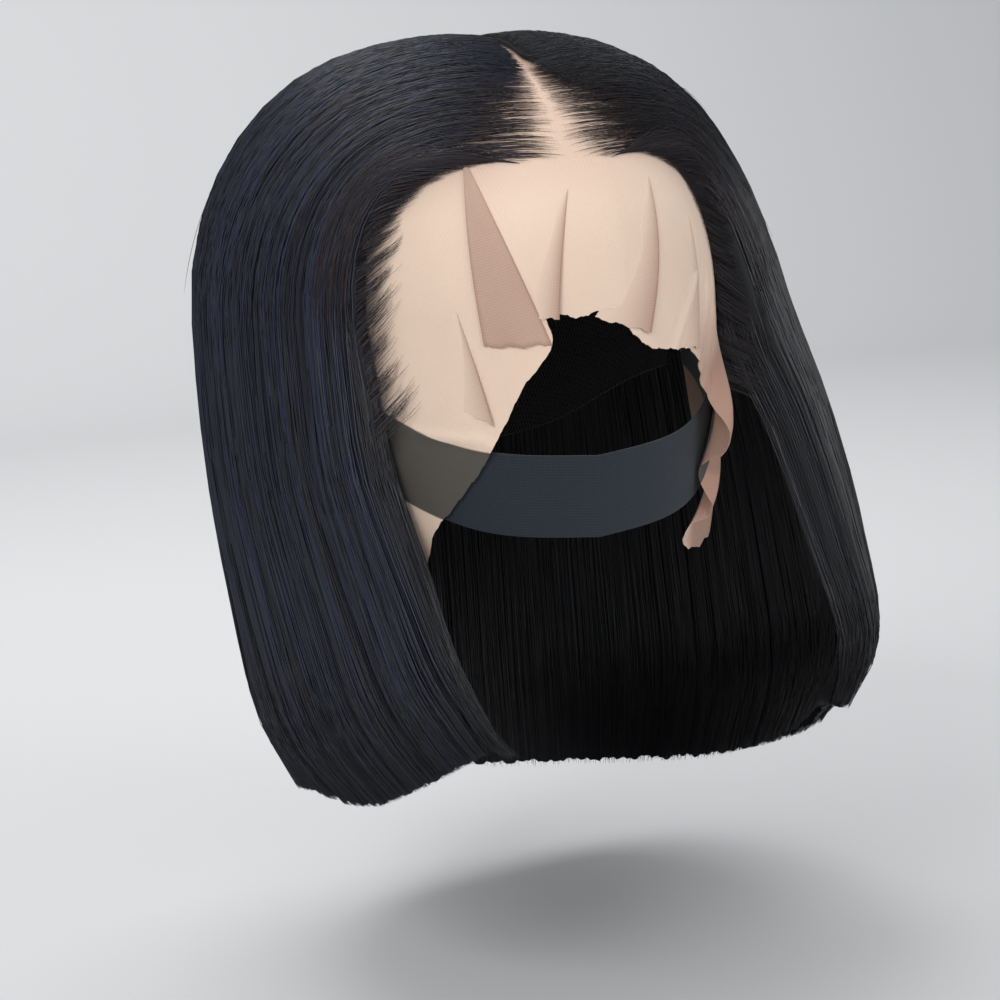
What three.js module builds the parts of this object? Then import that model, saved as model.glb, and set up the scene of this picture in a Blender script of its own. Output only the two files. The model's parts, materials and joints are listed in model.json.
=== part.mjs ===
import * as THREE from 'three';

// Centre-parted bob wig with a lace front, in mm. +Z is up, the face side looks along -Y and the
// wearer's right is at -X. The origin is the inside of the cap at the top of the crown.

// Head that the cap is made for, measured inside the cap
const HEAD_WIDTH = 152;
const HEAD_DEPTH = 190;
// crown above the temples, where the head is widest
const CROWN_HEIGHT = 90;
// half height of the long ellipsoid that the head follows below the temples
const HEAD_FALL = 230;

// Foundation
const CAP_THICKNESS = 1.2;
const LACE_THICKNESS = 1;
const BAND_WIDTH = 28;
const BAND_THICKNESS = 1.2;
// space left between pieces that touch
const CLEARANCE = 0.3;
// the hair's knots and wefts lift it this far off the lace and cap
const HAIR_SEAT = 0.6;

// Angles from the head's middle, in degrees: azimuth from the face round to the back, elevation
// from the temples up. The parting runs from the hairline to just behind the crown.
const PART_START = 32;
const PART_END = 100;
const FRONT_EDGE = 54;
const BACK_CENTRE = 180;
const EAR_TO_EAR = 100;
// how far behind the crown the lace meets the cap
const LACE_DEPTH = 12;
const BAND_REACH = 90;

// Hair
const HAIR_DROP = 196;
const HAIR_BULK = 27;
const LOCK_THICKNESS = 14;
const LOCK_RIDGE = 0.9;
const LOCKS_PER_SIDE = 11;
const PART_OPENING = 16;
// share of the way from front edge to centre back where the curtain meets the back hair
const CURTAIN_SHARE = 0.6;
// how quickly the hair reaches its full bulk behind the front edge: smaller is sooner
const EDGE_ROUNDING = 0.55;
// half width of the back hair's root line, and how far its ends fall back of its middle, as a share
const BACK_ROOT_WIDTH = 9;
const BACK_ROOT_SLOPE = 0.6;
// how far the hair is combed up over the shoulder of the dome, at the hairline and at the crown
const HAIRLINE_LIFT = 0.75;
const CROWN_LIFT = 0.95;
const RUFFLE_DEPTH = 16;
const PLEAT_DEPTH = 2.2;

// Steps of the meshes
const CURTAIN_STEPS = [24, 22];
const BACK_STEPS = [26, 20];
const LACE_STEPS = [48, 12];
const CAP_STEPS = [30, 9];
const BAND_STEPS = [36, 2];

// Front opening of the parting: its half width, as shares of PART_OPENING, along the parting
const PARTING = [
  { along: 0.0, open: 1.0 },
  { along: 0.14, open: 0.55 },
  { along: 0.32, open: 0.16 },
  { along: 1.0, open: 0.1 },
];

// Outer face of the hair off the head, as shares of HAIR_BULK, at the front edge, the side and the
// centre back. way runs from the roots (0) over the dome to the temples (1) and on to the hem (2).
const DOME = [
  { way: 0.0, front: 0.1, side: 0.14, back: 0.16 },
  { way: 0.15, front: 0.13, side: 0.34, back: 0.34 },
  { way: 0.4, front: 0.17, side: 0.76, back: 0.68 },
  { way: 0.7, front: 0.2, side: 1.05, back: 0.85 },
];
const RIGHT_FALL = [
  { way: 1.0, front: 0.24, side: 1.2, back: 0.95 },
  { way: 1.3, front: 0.42, side: 1.16, back: 0.9 },
  { way: 1.6, front: 0.62, side: 0.92, back: 0.7 },
  { way: 1.85, front: 0.76, side: 0.66, back: 0.45 },
  { way: 2.0, front: 0.6, side: 0.2, back: 0.1 },
];
const LEFT_FALL = [
  { way: 1.0, front: 0.42, side: 1.4, back: 0.95 },
  { way: 1.3, front: 1.1, side: 1.85, back: 0.9 },
  { way: 1.6, front: 1.6, side: 2.15, back: 0.7 },
  { way: 1.85, front: 1.9, side: 2.15, back: 0.45 },
  { way: 2.0, front: 1.55, side: 1.4, back: 0.1 },
];

// Azimuth of the curtain's front edge, as a share of FRONT_EDGE, and the thickness of the hair, as a
// share of LOCK_THICKNESS
const EDGE = [
  { way: 1.0, right: 0.94, left: 1.0, thick: 1.4 },
  { way: 1.3, right: 0.87, left: 1.02, thick: 1.1 },
  { way: 1.6, right: 0.69, left: 1.02, thick: 1.0 },
  { way: 1.85, right: 0.54, left: 1.0, thick: 0.8 },
  { way: 2.0, right: 0.44, left: 0.96, thick: 0.4 },
];

// Length of the hair below the temples, as a share of HAIR_DROP, from the front edge to centre back
const HEM = [
  { round: 0.0, right: 0.72, left: 0.78 },
  { round: 0.12, right: 0.8, left: 0.82 },
  { round: 0.25, right: 0.86, left: 0.91 },
  { round: 0.5, right: 0.89, left: 1.03 },
  { round: 0.7, right: 0.96, left: 1.07 },
  { round: 1.0, right: 1.03, left: 1.03 },
];

// Free front edge of the lace, from the wearer's right ear (-1) to the left ear (1)
const LACE_EDGE = [
  { across: -1.0, azimuth: -80, elevation: -44 },
  { across: -0.9, azimuth: -60, elevation: -49 },
  { across: -0.8, azimuth: -43, elevation: -48 },
  { across: -0.7, azimuth: -37, elevation: -41 },
  { across: -0.58, azimuth: -27, elevation: -32 },
  { across: -0.48, azimuth: -21, elevation: -24 },
  { across: -0.38, azimuth: -15, elevation: -14 },
  { across: -0.3, azimuth: -9, elevation: -6 },
  { across: -0.24, azimuth: -10, elevation: 0 },
  { across: -0.14, azimuth: -4, elevation: -1 },
  { across: 0.02, azimuth: 6, elevation: 0 },
  { across: 0.1, azimuth: 8, elevation: -5 },
  { across: 0.2, azimuth: 14, elevation: -9 },
  { across: 0.34, azimuth: 26, elevation: -11 },
  { across: 0.46, azimuth: 31, elevation: -17 },
  { across: 0.56, azimuth: 32, elevation: -27 },
  { across: 0.68, azimuth: 31, elevation: -38 },
  { across: 0.78, azimuth: 26, elevation: -46 },
  { across: 0.88, azimuth: 48, elevation: -48 },
  { across: 1.0, azimuth: 80, elevation: -44 },
];

// Folds of the lace: where they run at the hairline and at the free edge, how wide they are and how
// high they stand, as a share of PLEAT_DEPTH
const PLEATS = [
  { from: -0.37, to: -0.4, width: 0.07, height: 1.0 },
  { from: -0.09, to: -0.19, width: 0.03, height: 0.8 },
  { from: -0.02, to: -0.1, width: 0.03, height: 0.6 },
  { from: 0.24, to: 0.1, width: 0.03, height: 0.8 },
  { from: 0.36, to: 0.4, width: 0.03, height: 0.6 },
];

// Ruffle of the lace beside the wearer's left temple
const RUFFLE = { from: 0.48, to: 0.77, waves: 2, start: 0.7, fade: 0.6 };

// Height of the band's middle line on the head, in shares of HEAD_FALL below the temples
const BAND_LINE = [
  { round: 0.0, below: 0.272 },
  { round: 0.3, below: 0.25 },
  { round: 0.6, below: 0.18 },
  { round: 0.85, below: 0.11 },
  { round: 1.0, below: 0.08 },
];

// Lower edge of the cap, from the ears (1) to the middle of the nape (0)
const NAPE_EDGE = [
  { across: 0.0, azimuth: 180, elevation: -37 },
  { across: 0.5, azimuth: 146, elevation: -35 },
  { across: 0.8, azimuth: 120, elevation: -28 },
  { across: 1.0, azimuth: 101, elevation: -24 },
];

const HALF_WIDTH = HEAD_WIDTH / 2;
const HALF_DEPTH = HEAD_DEPTH / 2;
const HEAD_MIDDLE = new THREE.Vector3(0, 0, -CROWN_HEIGHT);
const UP = new THREE.Vector3(0, 0, 1);
const radians = THREE.MathUtils.degToRad;
const { lerp, clamp, smoothstep } = THREE.MathUtils;

// Value of one column of a table, smooth from row to row
function column(rows, key, name, at) {
  let next = rows.findIndex((row) => row[key] >= at);
  if (next < 0) next = rows.length - 1;
  next = Math.max(next, 1);
  const row = (i) => rows[clamp(i, 0, rows.length - 1)];
  const [before, left, right, after] = [row(next - 2), row(next - 1), row(next), row(next + 1)];
  const span = right[key] - left[key];
  const share = clamp((at - left[key]) / span, 0, 1);
  const slope = (a, b) => (b[key] > a[key] ? ((b[name] - a[name]) / (b[key] - a[key])) * span : 0);
  const start = slope(before, right);
  const end = slope(left, after);
  const s2 = share * share;
  const s3 = s2 * share;
  return (2 * s3 - 3 * s2 + 1) * left[name] + (s3 - 2 * s2 + share) * start
    + (3 * s2 - 2 * s3) * right[name] + (s3 - s2) * end;
}

function direction(azimuth, elevation) {
  const [turn, rise] = [radians(azimuth), radians(elevation)];
  const level = Math.cos(rise);
  return new THREE.Vector3(Math.sin(turn) * level, -Math.cos(turn) * level, Math.sin(rise));
}

// Point at an offset from the inside of the cap, along a direction from the head's middle
function overHead(way, offset) {
  const half = way.z > 0 ? CROWN_HEIGHT : HEAD_FALL;
  const radius = 1 / Math.hypot(way.x / HALF_WIDTH, way.y / HALF_DEPTH, way.z / half);
  return way.clone().multiplyScalar(radius + offset).add(HEAD_MIDDLE);
}

// Closed body between two grids of points: face(u, v, 0) is its outside and face(u, v, 1) its inside
function sheet(face, [across, along]) {
  const points = [];
  for (let side = 0; side < 2; side += 1) {
    for (let j = 0; j <= along; j += 1) {
      for (let i = 0; i <= across; i += 1) points.push(...face(i / across, j / along, side).toArray());
    }
  }
  const at = (i, j, side) => side * (across + 1) * (along + 1) + j * (across + 1) + i;
  const triangles = [];
  const quad = (a, b, c, d) => triangles.push(a, b, c, a, c, d);
  for (let j = 0; j < along; j += 1) {
    for (let i = 0; i < across; i += 1) {
      quad(at(i, j, 0), at(i, j + 1, 0), at(i + 1, j + 1, 0), at(i + 1, j, 0));
      quad(at(i, j, 1), at(i + 1, j, 1), at(i + 1, j + 1, 1), at(i, j + 1, 1));
    }
  }
  for (let i = 0; i < across; i += 1) {
    quad(at(i, 0, 1), at(i, 0, 0), at(i + 1, 0, 0), at(i + 1, 0, 1));
    quad(at(i, along, 0), at(i, along, 1), at(i + 1, along, 1), at(i + 1, along, 0));
  }
  for (let j = 0; j < along; j += 1) {
    quad(at(0, j, 0), at(0, j, 1), at(0, j + 1, 1), at(0, j + 1, 0));
    quad(at(across, j, 1), at(across, j, 0), at(across, j + 1, 0), at(across, j + 1, 1));
  }
  const geometry = new THREE.BufferGeometry();
  geometry.setAttribute('position', new THREE.Float32BufferAttribute(points, 3));
  geometry.setIndex(triangles);
  geometry.computeVertexNormals();
  return geometry;
}

function piece(name, geometry, color, roughness) {
  const mesh = new THREE.Mesh(geometry, new THREE.MeshStandardMaterial({ color, roughness, metalness: 0 }));
  mesh.name = name;
  return mesh;
}

// Line from ear to ear over the crown where the lace meets the cap, moved back by an offset in mm
function crownLine(across, offset) {
  const turn = radians(across * EAR_TO_EAR);
  const back = (LACE_DEPTH + offset) / CROWN_HEIGHT;
  return new THREE.Vector3(Math.sin(turn), back, Math.cos(turn));
}

// Height of the lace's folds and ruffle; forward is 0 at the cap and 1 at the free edge
function laceRise(across, forward) {
  let rise = 0;
  const free = smoothstep(forward, RUFFLE.start, 1);
  for (const pleat of PLEATS) {
    const middle = lerp(pleat.from, pleat.to, free);
    const near = Math.max(0, 1 - Math.abs(across - middle) / pleat.width);
    rise += PLEAT_DEPTH * pleat.height * near * near * free;
  }
  const share = (across - RUFFLE.from) / (RUFFLE.to - RUFFLE.from);
  if (share > 0 && share < 1) {
    const wave = Math.sin(Math.PI * RUFFLE.waves * share) ** 2;
    rise += RUFFLE_DEPTH * wave * Math.sin(Math.PI * share) * (1 - RUFFLE.fade * share) * free;
  }
  return rise;
}

function lacePoint(across, forward, side) {
  const rear = crownLine(across, 0).normalize();
  const edge = direction(
    column(LACE_EDGE, 'across', 'azimuth', across),
    column(LACE_EDGE, 'across', 'elevation', across),
  );
  const way = rear.lerp(edge, forward).normalize();
  return overHead(way, laceRise(across, forward) + (side ? 0 : LACE_THICKNESS));
}

function capPoint(across, back, side) {
  const front = crownLine(across, CLEARANCE).normalize();
  const share = Math.abs(across);
  const turn = Math.sign(across) * column(NAPE_EDGE, 'across', 'azimuth', share);
  const edge = direction(share ? turn : BACK_CENTRE, column(NAPE_EDGE, 'across', 'elevation', share));
  return overHead(front.lerp(edge, back).normalize(), side ? 0 : CAP_THICKNESS);
}

// The band lies inside the lace and the cap, against the head
function bandPoint(across, height, side) {
  const below = HEAD_FALL * column(BAND_LINE, 'round', 'below', Math.abs(across)) + BAND_WIDTH * height;
  const narrowed = Math.sqrt(1 - (below / HEAD_FALL) ** 2);
  const outward = direction(across * BAND_REACH, 0);
  const inset = CLEARANCE + (side ? BAND_THICKNESS : 0);
  const level = 1 / Math.hypot(outward.x / HALF_WIDTH, outward.y / HALF_DEPTH);
  return outward.multiplyScalar(level * narrowed - inset).addScaledVector(UP, -CROWN_HEIGHT - below);
}

// Share of the front, side and back columns that a strand takes, round from front edge (0) to back (1)
function blend(rows, way, round) {
  const [front, middle, back] = ['front', 'side', 'back'].map((name) => column(rows, 'way', name, way));
  return round < CURTAIN_SHARE
    ? lerp(front, middle, Math.sin((Math.PI / 2) * (round / CURTAIN_SHARE) ** EDGE_ROUNDING))
    : lerp(middle, back, smoothstep(round, CURTAIN_SHARE, 1));
}

// Root of a strand, as a direction from the head's middle
function rootWay(hand, round, gap) {
  const along = Math.min(round / CURTAIN_SHARE, 1);
  const open = PART_OPENING * column(PARTING, 'along', 'open', along);
  const root = direction(0, lerp(PART_START, PART_END, along));
  const behind = 1 - clamp((1 - round) / (1 - CURTAIN_SHARE), 0, 1);
  if (gap === 0) return root.setX((hand * open) / CROWN_HEIGHT);
  const spread = BACK_ROOT_WIDTH * (1 - behind);
  root.y += (gap + spread * BACK_ROOT_SLOPE) / CROWN_HEIGHT;
  return root.setX((hand * spread) / CROWN_HEIGHT);
}

// Point of the hair: round from the curtain's front edge (0) to centre back (1), way from the root
// (0) past the temples (1) to the hem (2), side 0 outside and 1 inside
function hairPoint(hand, round, way, side, gap) {
  const [fall, own] = hand < 0 ? [RIGHT_FALL, 'right'] : [LEFT_FALL, 'left'];
  const rows = [...DOME, ...fall];
  const frontEdge = FRONT_EDGE * column(EDGE, 'way', own, Math.max(way, 1));
  const seam = THREE.MathUtils.radToDeg(gap / HALF_DEPTH);
  const azimuth = lerp(frontEdge, BACK_CENTRE, round) + seam * smoothstep(1 - round, 0, 1 - CURTAIN_SHARE);
  const level = direction(hand * azimuth, 0);
  const ridge = LOCK_RIDGE * Math.sin(2 * Math.PI * LOCKS_PER_SIDE * round) * smoothstep(way, 0.1, 0.8);
  const outer = HAIR_BULK * blend(rows, way, round) + ridge;
  const seat = CAP_THICKNESS + HAIR_SEAT;
  const thick = LOCK_THICKNESS * column(EDGE, 'way', 'thick', Math.max(way, 1));
  const offset = side ? Math.max(seat, outer - thick) : Math.max(outer, seat + HAIR_SEAT);
  if (way < 1) {
    const root = rootWay(hand, round, gap).multiplyScalar((1 - way) ** 2);
    const lift = lerp(HAIRLINE_LIFT, CROWN_LIFT, Math.min(round / CURTAIN_SHARE, 1));
    const shoulder = level.clone().addScaledVector(UP, lift).multiplyScalar(2 * way * (1 - way));
    return overHead(root.add(shoulder).addScaledVector(level, way * way).normalize(), offset);
  }
  const length = HAIR_DROP * column(HEM, 'round', own, round);
  return overHead(level, offset).addScaledVector(UP, -(way - 1) * length);
}

const COLOURS = { net: 0x1d1b1c, lace: 0xc9a48c, elastic: 0x17202c, hair: 0x14161b };
const CLOTH_ROUGHNESS = 0.9;
const HAIR_ROUGHNESS = 0.4;
// from 0..1 along a grid to -1..1 from ear to ear
const earToEar = (u) => 2 * u - 1;

const cap = sheet((u, v, side) => capPoint(-earToEar(u), v, side), CAP_STEPS);
const lace = sheet((u, v, side) => lacePoint(earToEar(u), v, side), LACE_STEPS);
const band = sheet((u, v, side) => bandPoint(earToEar(u), v - 0.5, side), BAND_STEPS);

function curtain(hand) {
  const round = (u) => CURTAIN_SHARE * (hand < 0 ? 1 - u : u);
  return sheet((u, v, side) => hairPoint(hand, round(u), 2 * v, side, 0), CURTAIN_STEPS);
}

const backHair = sheet((u, v, side) => {
  const across = -earToEar(u);
  const round = 1 - (1 - CURTAIN_SHARE) * Math.abs(across);
  return hairPoint(across < 0 ? -1 : 1, round, 2 * v, side, CLEARANCE);
}, BACK_STEPS);

const wig = new THREE.Group();
wig.add(
  piece('wig_cap', cap, COLOURS.net, CLOTH_ROUGHNESS),
  piece('lace_front', lace, COLOURS.lace, CLOTH_ROUGHNESS),
  piece('elastic_band', band, COLOURS.elastic, CLOTH_ROUGHNESS),
  piece('hair_right', curtain(-1), COLOURS.hair, HAIR_ROUGHNESS),
  piece('hair_left', curtain(1), COLOURS.hair, HAIR_ROUGHNESS),
  piece('hair_back', backHair, COLOURS.hair, HAIR_ROUGHNESS),
);

export default wig;
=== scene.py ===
"""Looks of the centre-parted bob wig: hair, lace front, elastic band and cap, in metres.

+Z is up, the face side looks along -Y and the wearer's right is at -X. The origin is the inside of
the cap at the top of the crown.
"""

import json
import logging
import math
from dataclasses import dataclass
from enum import Enum

import bpy
import numpy as np
from bpy.types import Material, Mesh, Node, NodeSocket, NodeTree, Object
from mathutils import Matrix, Vector

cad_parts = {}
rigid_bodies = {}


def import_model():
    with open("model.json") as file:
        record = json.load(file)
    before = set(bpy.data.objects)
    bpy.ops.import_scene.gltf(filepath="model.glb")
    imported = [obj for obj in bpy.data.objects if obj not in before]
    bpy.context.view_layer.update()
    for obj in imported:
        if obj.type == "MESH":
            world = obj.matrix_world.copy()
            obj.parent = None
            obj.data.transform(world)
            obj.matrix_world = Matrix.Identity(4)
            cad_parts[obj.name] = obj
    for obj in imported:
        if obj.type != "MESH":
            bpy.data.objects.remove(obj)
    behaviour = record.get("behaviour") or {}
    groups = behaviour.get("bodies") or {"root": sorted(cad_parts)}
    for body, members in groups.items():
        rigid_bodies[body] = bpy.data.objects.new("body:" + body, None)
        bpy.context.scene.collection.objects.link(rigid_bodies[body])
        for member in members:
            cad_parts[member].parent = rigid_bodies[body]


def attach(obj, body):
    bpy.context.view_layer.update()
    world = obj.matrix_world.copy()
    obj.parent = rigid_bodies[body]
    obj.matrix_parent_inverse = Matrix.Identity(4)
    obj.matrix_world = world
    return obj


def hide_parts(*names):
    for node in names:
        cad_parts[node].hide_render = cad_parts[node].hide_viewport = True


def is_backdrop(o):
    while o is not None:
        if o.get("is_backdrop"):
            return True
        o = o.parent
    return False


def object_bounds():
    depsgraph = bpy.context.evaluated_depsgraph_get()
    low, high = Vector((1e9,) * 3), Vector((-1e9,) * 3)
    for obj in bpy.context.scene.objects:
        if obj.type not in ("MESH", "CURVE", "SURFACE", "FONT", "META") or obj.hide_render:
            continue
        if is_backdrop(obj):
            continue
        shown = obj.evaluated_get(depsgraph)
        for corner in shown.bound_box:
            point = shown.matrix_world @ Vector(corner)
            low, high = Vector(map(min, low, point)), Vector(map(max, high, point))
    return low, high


log = logging.getLogger("wig")
Array = np.ndarray
Colour = tuple[float, float, float]
Place = tuple[float, float, float]
MM = 0.001
UP = np.array([0, 0, 1.0])
# share of a turn that spreads numbered things evenly
GOLDEN = 0.618034
# share of the way from the front edge to centre back where a curtain meets the back hair
CURTAIN_SHARE = 0.6
# where the hair ends along its length: 1 is the level of the temples, 2 the full fall
HEM = 1.996
# angle in degrees from which an edge is kept sharp
SHARP_EDGE = 50
# names of the UV map and of the numbers that the pieces' points keep for their finishes
# the strands' sheen share mixes in a painted sheen highlight, and the lace's darkness share also
# holds the painted shade of its folds
CUT, SHEEN_SHARE, BROWN, DARK_AND_SHADE, BAND_DEPTH = "cut", "sheen_share", "brown", "dark_and_shade", "band_depth"
# distance from the band's edges in mm up to which it is told apart
BAND_REACH = 5


class Hand(Enum):
    """The wearer's side that a curtain of hair hangs on."""

    RIGHT = -1
    LEFT = 1


class Layer(Enum):
    """Where strands lie: on the hair's face, its lining side, its front edge, or stray above it."""

    FACE = "face"
    LINING = "lining"
    EDGE = "edge"
    STRAY = "stray"


def smoothstep(value: Array, low: float, high: float) -> Array:
    """Smooth 0 to 1 step of a value between two limits."""
    share = np.clip((np.asarray(value, float) - low) / (high - low), 0, 1)
    return share * share * (3 - 2 * share)


def lerp(start: Array, end: Array, share: Array) -> Array:
    """Straight mix of two values."""
    return start + (end - start) * share


@dataclass(frozen=True)
class Table:
    """A short table with named columns that is read smoothly between its rows.

    The first column is the key that the rows are ordered by.
    """

    names: tuple[str, ...]
    rows: tuple[tuple[float, ...], ...]

    def column(self, name: str, at: Array) -> Array:
        """Value of one column at each key.

        Args:
            name: Column to read.
            at: Keys, of any shape.

        Returns:
            Values of the same shape, on smooth curves through the rows.
        """
        data = np.array(self.rows)
        keys, values = data[:, 0], data[:, self.names.index(name)]
        at = np.clip(np.asarray(at, float), keys[0], keys[-1])
        right = np.clip(np.searchsorted(keys, at), 1, len(keys) - 1)
        left = right - 1
        before, after = np.maximum(left - 1, 0), np.minimum(right + 1, len(keys) - 1)
        span = keys[right] - keys[left]
        start = (values[right] - values[before]) / (keys[right] - keys[before]) * span
        end = (values[after] - values[left]) / (keys[after] - keys[left]) * span
        s = (at - keys[left]) / span
        return ((2 * s**3 - 3 * s**2 + 1) * values[left] + (s**3 - 2 * s**2 + s) * start
                + (3 * s**2 - 2 * s**3) * values[right] + (s**3 - s**2) * end)


def grid(first: tuple[float, float, int], second: tuple[float, float, int]) -> list[Array]:
    """Two grids of even values, each from a start, an end and a count, one along each axis."""
    return np.meshgrid(np.linspace(*first), np.linspace(*second), indexing="ij")


def direction(azimuth: Array, elevation: Array) -> Array:
    """Unit vectors from the cap's middle.

    Args:
        azimuth: Degrees from the face, positive to the wearer's left.
        elevation: Degrees above the temples.

    Returns:
        Vectors in a last axis of three.
    """
    turn, rise = np.radians(azimuth), np.radians(elevation)
    turn, rise = np.broadcast_arrays(turn, rise)
    return np.stack([np.sin(turn) * np.cos(rise), -np.cos(turn) * np.cos(rise), np.sin(rise)], -1)


def unit(vectors: Array) -> Array:
    """Vectors of length one along the given ones."""
    return vectors / np.linalg.norm(vectors, axis=-1, keepdims=True)


@dataclass(frozen=True)
class CapForm:
    """Inside of the cap: an ellipsoid dome above the temples and a long one below them."""

    width: float = 152 * MM
    depth: float = 190 * MM
    rise: float = 90 * MM
    fall: float = 230 * MM

    def over(self, way: Array, offset: Array | float) -> Array:
        """Points off the inside of the cap.

        Args:
            way: Directions from the cap's middle.
            offset: Distances off the inside of the cap, along the directions.

        Returns:
            Points in the row frame.
        """
        half = np.where(way[..., 2] > 0, self.rise, self.fall)
        reach = 1 / np.sqrt((way[..., 0] / (self.width / 2)) ** 2
                            + (way[..., 1] / (self.depth / 2)) ** 2 + (way[..., 2] / half) ** 2)
        return way * (reach + offset)[..., None] - np.array([0, 0, self.rise])


FORM = CapForm()
MIDDLE = np.array([0, 0, -FORM.rise])
# how far the hair stands off the dome, in shares of its bulk, on either side
DOME_ROWS = (
    (0, 0.1, 0.14, 0.16), (0.15, 0.13, 0.34, 0.34), (0.4, 0.17, 0.76, 0.68), (0.7, 0.2, 1.05, 0.85))


@dataclass(frozen=True)
class HairForm:
    """Form of the hair: how far it stands off the cap, where it starts and where it ends."""

    drop: float = 196 * MM
    bulk: float = 27 * MM
    lock: float = 14 * MM
    seat: float = 1.8 * MM
    part_opening: float = 16 * MM
    part_start: float = 32
    part_end: float = 100
    front_edge: float = 54
    edge_rounding: float = 0.55
    root_width: float = 9 * MM
    root_slope: float = 0.6
    hairline_lift: float = 0.75
    crown_lift: float = 0.95
    parting: Table = Table(("along", "open"), (
        (0, 1), (0.14, 0.55), (0.32, 0.16), (0.85, 0.1), (1, 0.02)))
    right: Table = Table(("way", "front", "side", "back"), DOME_ROWS + (
        (1, 0.24, 1.2, 0.95), (1.3, 0.42, 1.16, 0.9), (1.6, 0.62, 0.92, 0.7),
        (1.85, 0.76, 0.66, 0.45), (2, 0.6, 0.2, 0.1)))
    left: Table = Table(("way", "front", "side", "back"), DOME_ROWS + (
        (1, 0.42, 1.4, 0.95), (1.3, 1.1, 1.85, 0.9), (1.6, 1.6, 2.15, 0.7),
        (1.85, 1.9, 2.15, 0.45), (2, 1.55, 1.4, 0.1)))
    edge: Table = Table(("way", "right", "left", "thick"), (
        (1, 0.94, 1, 1.4), (1.3, 0.87, 1.02, 1.1), (1.6, 0.708, 1.02, 1), (1.85, 0.758, 1, 0.8),
        (2, 0.884, 0.96, 0.4)))
    # the ends of the right curtain: degrees that they sweep forward by, share of the fall that they
    # rise by, and where along the hair that starts
    curl_turn: float = 24
    curl_lift: float = 0.06
    curl_start: float = 1.5
    hem: Table = Table(("round", "right", "left"), (
        (0, 0.765, 0.78), (0.12, 0.85, 0.82), (0.25, 0.915, 0.91), (0.5, 0.94, 1.03),
        (0.7, 0.99, 1.07), (1, 1.03, 1.03)))

    def _side(self, hand: Hand) -> tuple[Table, str]:
        """The table and the column name of one side."""
        return (self.right, "right") if hand is Hand.RIGHT else (self.left, "left")

    def outer(self, hand: Hand, around: Array, way: Array) -> Array:
        """How far the face of the hair stands off the cap.

        Args:
            hand: The wearer's side.
            around: From the front edge (0) to centre back (1).
            way: From root (0) past temples (1) to hem (2).

        Returns:
            Offsets in metres.
        """
        rows = self._side(hand)[0]
        front, side, back = (rows.column(name, way) for name in ("front", "side", "back"))
        near = np.sin(np.pi / 2 * np.clip(around / CURTAIN_SHARE, 0, 1) ** self.edge_rounding)
        far = smoothstep(around, CURTAIN_SHARE, 1)
        off = np.where(around < CURTAIN_SHARE, lerp(front, side, near), lerp(side, back, far))
        return self.bulk * off

    def inner(self, hand: Hand, around: Array, way: Array) -> Array:
        """How far the lining side of the hair stands off the cap, in metres."""
        thick = self.lock * self.edge.column("thick", np.maximum(way, 1))
        return np.maximum(self.seat, self.outer(hand, around, way) - thick)

    def root(self, hand: Hand, around: Array) -> Array:
        """Directions from the cap's middle to the roots along the parting and behind its end.

        Args:
            hand: The wearer's side.
            around: From the front edge (0) to centre back (1).

        Returns:
            Directions in a last axis of three.
        """
        along = np.minimum(around / CURTAIN_SHARE, 1)
        way = direction(0, lerp(self.part_start, self.part_end, along))
        opening = self.part_opening * self.parting.column("open", along)
        behind = np.clip((1 - around) / (1 - CURTAIN_SHARE), 0, 1) * self.root_width
        back = around > CURTAIN_SHARE
        way[..., 0] = hand.value * np.where(back, behind, opening) / FORM.rise
        way[..., 1] += np.where(back, behind * self.root_slope / FORM.rise, 0)
        return way

    def point(self, hand: Hand, around: Array, way: Array, offset: Array,
              inward: Array = 0.0) -> Array:
        """Points of the hair.

        Args:
            hand: The wearer's side.
            around: From the front edge (0) to centre back (1).
            way: From root (0) past temples (1) to hem (2).
            offset: Distances off the inside of the cap.
            inward: Share by which the roots move in from the edge of the parting to its middle.

        Returns:
            Points in the row frame, in a last axis of three.
        """
        around, way, offset, inward = np.broadcast_arrays(around, way, offset, inward)
        name = self._side(hand)[1]
        front = self.front_edge * self.edge.column(name, np.maximum(way, 1))
        sweep = np.clip((way - self.curl_start) / (2 - self.curl_start), 0, 1.2) ** 2
        curl = sweep * smoothstep(around, 0.9, 0.35) * (hand is Hand.RIGHT)
        level = direction(hand.value * (lerp(front, 180, around) - self.curl_turn * curl), 0)
        t = np.minimum(way, 1)[..., None]
        lift = lerp(self.hairline_lift, self.crown_lift, np.minimum(around / CURTAIN_SHARE, 1))
        shoulder = level + UP * lift[..., None]
        root = self.root(hand, around)
        root[..., 0] *= 1 - inward
        dome = root * (1 - t) ** 2 + shoulder * 2 * t * (1 - t) + level * t**2
        points = FORM.over(unit(dome), offset)
        fall = np.maximum(way - 1, 0) - self.curl_lift * curl
        points[..., 2] -= fall * self.drop * self.hem.column(name, around)
        return points


@dataclass(frozen=True)
class Locks:
    """Ridges and hollows of the locks, as sums of waves round the hair."""

    counts: tuple[int, ...] = (11, 19, 37, 71)
    heights: tuple[float, ...] = (0.7 * MM, 0.5 * MM, 0.35 * MM, 0.2 * MM)
    drift: tuple[float, ...] = (0.3, 0.9, 1.7, 2.6)

    def height(self, hand: Hand, around: Array, way: Array) -> Array:
        """Rise of the face of the hair at each place.

        Args:
            hand: The wearer's side.
            around: From the front edge (0) to centre back (1).
            way: From root (0) past temples (1) to hem (2).

        Returns:
            Heights in metres.
        """
        total = 0
        for step, (count, height, drift) in enumerate(zip(self.counts, self.heights, self.drift)):
            phase = step * 1.3 + hand.value * 0.7
            sway = drift * np.sin(2.2 * way + step)
            total = total + height * np.sin(2 * np.pi * count * around + phase + sway)
        return total * smoothstep(way, 0.05, 0.7)


HAIR = HairForm()
LOCKS = Locks()


def hair_face(hand: Hand, around: Array, way: Array) -> Array:
    """How far the ridged face of the hair stands off the cap, in metres."""
    return HAIR.outer(hand, around, way) + LOCKS.height(hand, around, way)


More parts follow.
